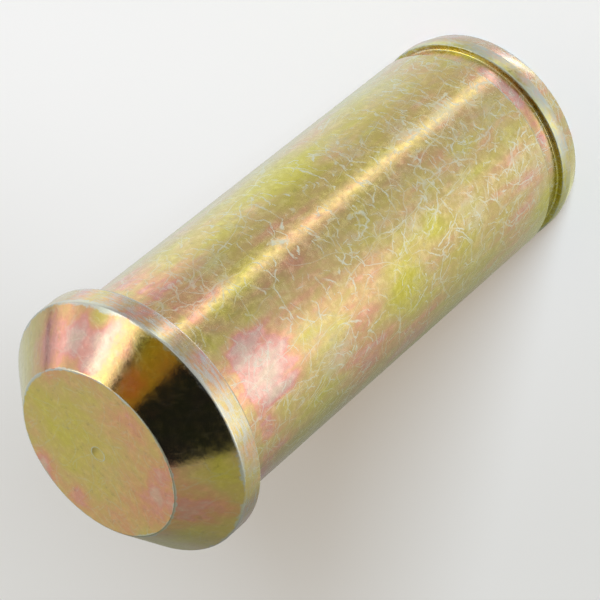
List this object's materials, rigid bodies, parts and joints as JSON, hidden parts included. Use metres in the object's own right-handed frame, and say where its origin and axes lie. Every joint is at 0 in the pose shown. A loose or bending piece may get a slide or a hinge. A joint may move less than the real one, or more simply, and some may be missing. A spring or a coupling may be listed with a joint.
{
  "type": "yoke pin",
  "caption": "Headed clevis-style yoke pin: round shank with a square-shouldered, coned head at one end and a retaining-ring groove, collar and tapered lead at the other.",
  "frame": {"origin": "centre of the plain end's flat face, which the pin stands on", "axes": "+Z along the pin's axis from the plain end up to the head; the pin is turned, so X and Y are any two directions square to it"},
  "size_m": [0.0296, 0.0296, 0.0681],
  "materials": {
    "plated_steel": "turned steel with yellow iridescent zinc plating, satin on the shank, bright on the nose, with fine pale handling scratches"
  },
  "bodies": {
    "root": {"yoke_pin": "plated_steel"}
  },
  "joints": []
}
